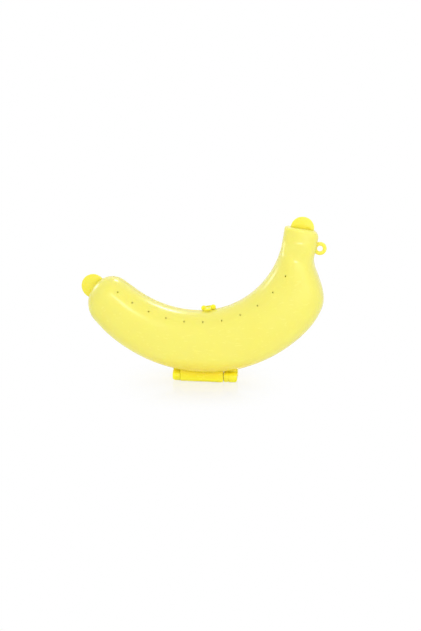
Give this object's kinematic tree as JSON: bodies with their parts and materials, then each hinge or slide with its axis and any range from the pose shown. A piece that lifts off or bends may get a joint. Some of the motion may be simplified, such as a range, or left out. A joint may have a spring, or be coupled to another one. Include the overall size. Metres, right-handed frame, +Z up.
{
  "type": "banana_carrying_case",
  "caption": "Hard yellow plastic carrying case for one banana, curved like the fruit, with a bottom hinge, a thumb clasp, air holes and a cord ring",
  "frame": {"origin": "middle of the case's box, on the surface that it stands on", "axes": "+X to the stem side, -Y the front shell, +Z up from the hinge; the parting plane is y = 0"},
  "size_m": [0.1956, 0.047, 0.1335],
  "materials": {
    "shell_yellow": "smooth, slightly translucent lemon plastic",
    "fitting_yellow": "smooth deep yellow plastic",
    "pin_steel": "drawn steel wire"
  },
  "bodies": {
    "rear": {"rear_shell": "shell_yellow", "rear_left_knuckle": "fitting_yellow", "rear_right_knuckle": "fitting_yellow", "hinge_pin": "pin_steel", "latch_bracket": "fitting_yellow", "latch_pin": "pin_steel", "tip_ear": "fitting_yellow", "stem_ear": "fitting_yellow", "lanyard_ring": "fitting_yellow"},
    "front": {"front_shell": "shell_yellow", "front_hinge_leaf": "fitting_yellow", "latch_catch": "fitting_yellow"},
    "clasp": {"latch_clasp": "fitting_yellow"}
  },
  "joints": [
    {"name": "shell_hinge", "type": "hinge", "parent": "rear", "child": "front", "pos_m": [0.00371, 0, 0.004], "axis": [1, 0, 0], "range_deg": [0, 180]},
    {"name": "clasp_lift", "type": "hinge", "parent": "rear", "child": "clasp", "pos_m": [0.00624, 0.0052, 0.05988], "axis": [-0.9903, 0, -0.1388], "range_deg": [0, 95]}
  ]
}
